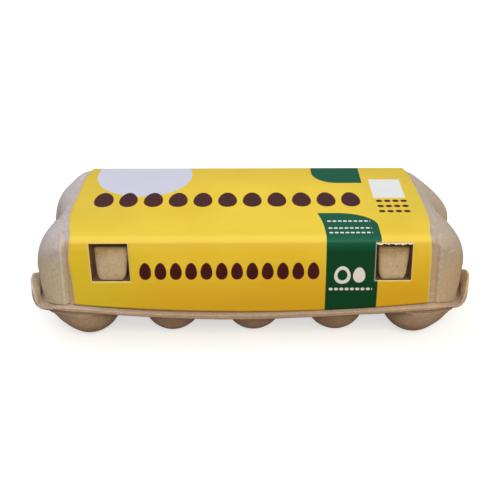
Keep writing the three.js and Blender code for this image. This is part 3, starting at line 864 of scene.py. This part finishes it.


# Label paper: flat fields of ink on satin paper, faint print grain, rubbed fold, painted shade and
# a painted highlight along the front fold
def makeLabelPaper():
    maker = Maker("labelPaper")
    place, add, span, blend = maker.place, maker.sum, maker.span, maker.blend
    sheet = Print(maker)
    u, v = sheet.u, sheet.v
    cloud = maker.noise(place, 22, 2.0, 0.5)
    grain = maker.noise(place, 1900, 3.0, 0.65)
    tone = blend(span(cloud, 0.3, 0.7), label["yellow"], label["yellowDeep"])
    # painted shade: the yellow darker towards the bottom and to the right
    low = add("MULTIPLY_ADD", cloud, 8.0, add("MULTIPLY_ADD", sheet.x, -0.11, v))
    tone = blend(span(low, 2.0, -42.0, 0.0, 0.95), tone, label["yellowPaintedShadeLow"])
    lemon = add("MULTIPLY", span(sheet.x, -40.0, -95.0), span(v, 4.0, -8.0))
    tone = blend(add("MULTIPLY", lemon, 0.75), tone, label["lemon"])
    outer = add("MULTIPLY", span(add("ABSOLUTE", sheet.x), 45.0, 95.0),
                span(v, 4.0, 40.0))
    tone = blend(add("MULTIPLY", outer, 0.5), tone, label["yellowOuter"])
    # green fields: one over the front fold, flaring to the left at its top and rounded
    # at the right, and one at the back of the top
    flare = add("POWER", span(v, 0.0, printed["greenFold"][3], ease=False), 3.0)
    leftEdge = span(add("MULTIPLY_ADD", flare, printed["flare"], u), 41.1, 41.4)
    shoulder = sheet.any(sheet.egg(49.6, 16.2, 22.3, 15.6), span(u, 49.9, 49.5),
                         span(v, 16.5, 16.1))
    frontGreen = sheet.any(sheet.box(*printed["greenFront"]), sheet.both(
        sheet.box(*printed["greenFold"]), shoulder, leftEdge, span(v, -1.5, -1.2)))
    backGreen = sheet.box(*printed["greenBack"])
    corner = sheet.any(sheet.egg(54, 87, 15.4, 15.0), span(u, 53.8, 54.2),
                       span(v, 86.8, 87.2))
    green = sheet.any(frontGreen, sheet.both(backGreen, corner))
    # painted shade: the top darker towards the back
    tone = blend(span(v, 60.0, 98.0, 0.0, 0.7), tone, label["yellowPaintedShadeBack"])
    # painted highlight along the front fold, in the yellow and the green; the green on the top
    # takes half of it as a painted sheen
    foldHighlight = span(add("ABSOLUTE", add("SUBTRACT", v, 2.5)), 7.0, 0.5, 0.0, 0.8)
    tone = blend(add("MULTIPLY", foldHighlight, 0.6), tone, label["yellowFoldHighlight"])
    greenSheen = add("MAXIMUM", foldHighlight, span(v, -2.0, 6.0, 0.0, 0.5))
    deep = blend(greenSheen, label["green"], label["greenFold"])
    tone = blend(green, tone, deep)
    tone = blend(sheet.egg(*printed["circle"]), tone, label["mist"])
    tone = blend(sheet.box(*printed["square"]), tone, label["white"])
    brown = sheet.any(*[sheet.eggs(*printed[name]) for name in ("bigEggs", "smallEggs")],
                      sheet.dashes(*printed["darkRows"]))
    tone = blend(brown, tone, label["brown"])
    mark = sheet.any(sheet.egg(*printed["ring"], ring=printed["ringWide"]),
                     sheet.egg(*printed["paleEgg"]))
    paleRows = sheet.both(sheet.dashes(*printed["paleRows"]), green)
    tone = blend(sheet.any(paleRows, mark), tone, label["white"])
    # the ink is a little rubbed where the paper folds
    fold = span(add("ABSOLUTE", add("SUBTRACT", v, 3.0)), 3.2, 0.2)
    worn = add("MULTIPLY", fold, span(grain, 0.56, 0.7, 0.0, 0.07))
    tone = blend(worn, tone, label["cut"])
    # and the cut edges of the sheet and its windows show pale
    border = maker.add("SeparateXYZ",
                       Vector=maker.add("UVMap", {"uv_map": "border"}).outputs["UV"])
    side = span(border.outputs["X"], 0.006, 0.003)
    lowEdge = (latch["bottom"] - lid["wallTop"]["front"]) / math.cos(frontLean)
    tall = (latch["over"] - lowEdge) / 2
    beyond = add("MINIMUM", *[
        add("SUBTRACT", add("ABSOLUTE", add("SUBTRACT", sheet.x, middle)), wide / 2)
        for middle, wide in latch["places"]])
    over = add("SUBTRACT", add("ABSOLUTE", add("SUBTRACT", v, lowEdge + tall)), tall)
    beyond = add("MAXIMUM", beyond, over)
    hem = span(beyond, 0.6, 0.25)
    tone = blend(add("MULTIPLY", add("MAXIMUM", side, hem), 0.6), tone, label["cut"])
    maker.coat(tone, span(grain, 0.3, 0.7, 0.4, 0.52), 0.2)
    wrinkle = maker.noise(maker.stretch(place, (30, 70, 70)), 1.0, 2.0, 0.5)
    maker.bump(add("MULTIPLY_ADD", wrinkle, 9.0, add("MULTIPLY", grain, 0.3)), 0.0001, 0.6)
    return maker.material


# Cut edges and back of the label: pale paper with a fine grain
def makeCutPaper():
    maker = Maker("cutPaper")
    grain = maker.noise(maker.place, 2400, 3.0, 0.6)
    tone = maker.blend(maker.span(grain, 0.35, 0.7, 0.0, 0.5), label["cut"],
                       tuple(value * 0.8 for value in label["cut"]))
    maker.coat(tone, maker.span(grain, 0.3, 0.7, 0.8, 0.95))
    maker.bump(grain, 0.00008, 0.6)
    return maker.material


makeLabel(makeLabelPaper(), makeCutPaper())
print("label ready")


button = {
    "x": 79.2,
    "top": {-1: (-8.9, 10.6), 1: (-7.9, 10.0)},      # corners left and right of the middle,
    "foot": {-1: (-7.0, 8.6), 1: (-7.2, 7.6)},       # for the left and the right button
    "topDown": 3.5, "footUp": -0.3, "thick": 4.2, "swell": 1.1, "edge": 1.3,
    "topBack": 3.9, "footBack": -0.3,
    "wallFrom": 23.3,                        # height that the wall's lean is counted from
}


# Outline of a button: a tapering block with every corner rounded, as a closed line
def buttonLine(side):
    high = (latch["top"] - latch["bottom"]) / math.cos(frontLean) / 2
    top, foot = high - button["topDown"], -high + button["footUp"]
    (topLeft, topRight), (footLeft, footRight) = button["top"][side], button["foot"][side]
    corners = [(topLeft, top), (footLeft - 0.3, foot + 3), (footLeft + 1.6, foot),
               (footRight - 1.6, foot), (footRight + 0.3, foot + 3), (topRight, top)]
    points = [np.array([corner]) for corner in corners]
    points = [(points[-1] + points[0]) / 2, *points, (points[-1] + points[0]) / 2]
    line = roundRows(points, [0, 1.6, 2.4, 1.3, 1.3, 2.4, 1.6], cuts=9)[:-1, 0]
    ends = np.concatenate([line, line[:1]])
    far = np.concatenate([[0], np.cumsum(np.hypot(*np.diff(ends, axis=0).T))])
    steps = np.linspace(0, far[-1], 96, endpoint=False)
    return np.stack([np.interp(steps, far, ends[:, k]) for k in (0, 1)], -1)


# Button = its outline shrunk step by step, the face swelling towards the middle as a
# rounded cushion, leaning back towards its top; then set onto the leaning wall
def makeButton(side):
    line = buttonLine(side)
    middle = line.mean(axis=0)
    share = np.concatenate([[0.04], np.sin(np.linspace(0.12, 1, 22) * np.pi / 2)])
    rounding = button["edge"] * (np.sqrt(1 - share ** 9) - 1)
    lift = button["swell"] * (1 - share ** 2.4) + rounding
    face = [middle + (line - middle) * s for s in share]
    back = [line, middle + (line - middle) * 0.5]
    flat = np.stack([*face, *back])
    out = np.concatenate([lift, [-button["thick"] + 1.0, -button["thick"] + 1.0]])
    out = np.broadcast_to(out[:, None], flat.shape[:2]).copy()
    climb = (flat[..., 1] - line[:, 1].min()) / np.ptp(line[:, 1])
    out -= mix(button["footBack"], button["topBack"], climb ** 1.5)
    middleZ = (latch["top"] + latch["bottom"]) / 2
    wallY = -carton["axisY"] - mix(lid["foot"]["front"], lid["shoulder"]["front"],
                                   (middleZ - button["wallFrom"]) / frontClimb)
    across = side * button["x"] + flat[..., 0]
    up, lean = flat[..., 1], frontLean
    points = np.stack([across, wallY + up * math.sin(lean) - out * math.cos(lean),
                       middleZ + up * math.cos(lean) + out * math.sin(lean)], -1)
    points = points - unevenness(points, 8, 20 + side)[..., None] * [0, -0.12, 0]
    points, faces = ringSkin(points)
    name = "latchButton" + ("Left" if side < 0 else "Right")
    piece = makePiece(name, points, faces, [buttonPulp])
    node = "latch_button_left" if side < 0 else "latch_button_right"
    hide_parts(node)


makeButton(-1)
makeButton(1)
print("buttons ready")


studio = {
    "floor": (0.5, 0.5, 0.5), "glow": 0.62, "underfoot": (0.3, 0.2, 0.125),
    "horizon": 0.3, "zenith": 0.76, "worldColour": (0.9, 0.96, 1.0),
    "lamps": [                               # name, place, aim, size, watts, colour
        ("sky", (-0.7, 0.3, 1.3), (0, 0, 0.05), (1.4, 1.0), 4.8, (0.78, 0.9, 1.0)),
        ("front", (0.2, -1.15, 1.15), (0, 0, 0.03), (1.2, 0.7), 15.0, (1.0, 0.87, 0.64)),
        ("right", (1.2, -0.5, 0.7), (0, 0, 0.03), (0.8, 0.8), 2.0, (1.0, 0.88, 0.7)),
    ],
}


# White floor for the eye; what it throws back onto the carton is dim and warm, as from
# a wooden table
def makeFloor():
    maker = Maker("floorPaper")
    grain = maker.noise(maker.place, 300, 2.0, 0.5)
    tone = maker.blend(maker.span(grain, 0.3, 0.7), studio["floor"], (0.51, 0.51, 0.51))
    maker.coat(tone, 0.9)
    maker.shader.inputs["Emission Color"].default_value = (1, 1, 1, 1)
    maker.shader.inputs["Emission Strength"].default_value = studio["glow"]
    wood = maker.add("BsdfDiffuse", Color=(*studio["underfoot"], 1))
    eye = maker.add("LightPath").outputs["Is Camera Ray"]
    both = maker.add("MixShader", Fac=eye)
    maker.feed(both.inputs[1], wood.outputs[0])
    maker.feed(both.inputs[2], maker.shader.outputs[0])
    maker.feed(maker.tree.nodes["Material Output"].inputs["Surface"], both.outputs[0])
    mesh = bpy.data.meshes.new("floor")
    mesh.from_pydata([(-6, -6, 0), (6, -6, 0), (6, 6, 0), (-6, 6, 0)], [], [(0, 1, 2, 3)])
    mesh.materials.append(maker.material)
    newObject("floor", mesh)


# Soft light from all round, stronger towards the zenith; plain white to the eye
def makeWorld():
    world = bpy.data.worlds.new("studio")
    scene.world = world
    world.use_nodes = True
    tree = world.node_tree
    sky = tree.nodes["Background"]
    sky.inputs["Color"].default_value = (*studio["worldColour"], 1)
    place, parts, rise, white, eye, both = [
        tree.nodes.new("ShaderNode" + kind) for kind in (
            "TexCoord", "SeparateXYZ", "MapRange", "Background", "LightPath", "MixShader")]
    rise.inputs["To Min"].default_value = studio["horizon"]
    rise.inputs["To Max"].default_value = studio["zenith"]
    white.inputs["Color"].default_value = (1, 1, 1, 1)
    for start, end in (
            (place.outputs["Generated"], parts.inputs[0]),
            (parts.outputs["Z"], rise.inputs["Value"]),
            (rise.outputs["Result"], sky.inputs["Strength"]),
            (eye.outputs["Is Camera Ray"], both.inputs[0]), (sky.outputs[0], both.inputs[1]),
            (white.outputs[0], both.inputs[2]),
            (both.outputs[0], tree.nodes["World Output"].inputs["Surface"])):
        tree.links.new(start, end)


def makeStudio():
    makeFloor()
    makeWorld()
    for name, place, aim, size, watts, colour in studio["lamps"]:
        lamp = bpy.data.lights.new(name, "AREA")
        lamp.shape, lamp.size, lamp.size_y = "RECTANGLE", *size
        lamp.energy, lamp.color = watts, colour
        lit = newObject(name, lamp)
        lit.location = place
        lit.rotation_euler = (Vector(aim) - Vector(place)).to_track_quat("-Z", "Y").to_euler()
    scene.view_settings.view_transform = "Standard"


makeStudio()
print("studio ready")
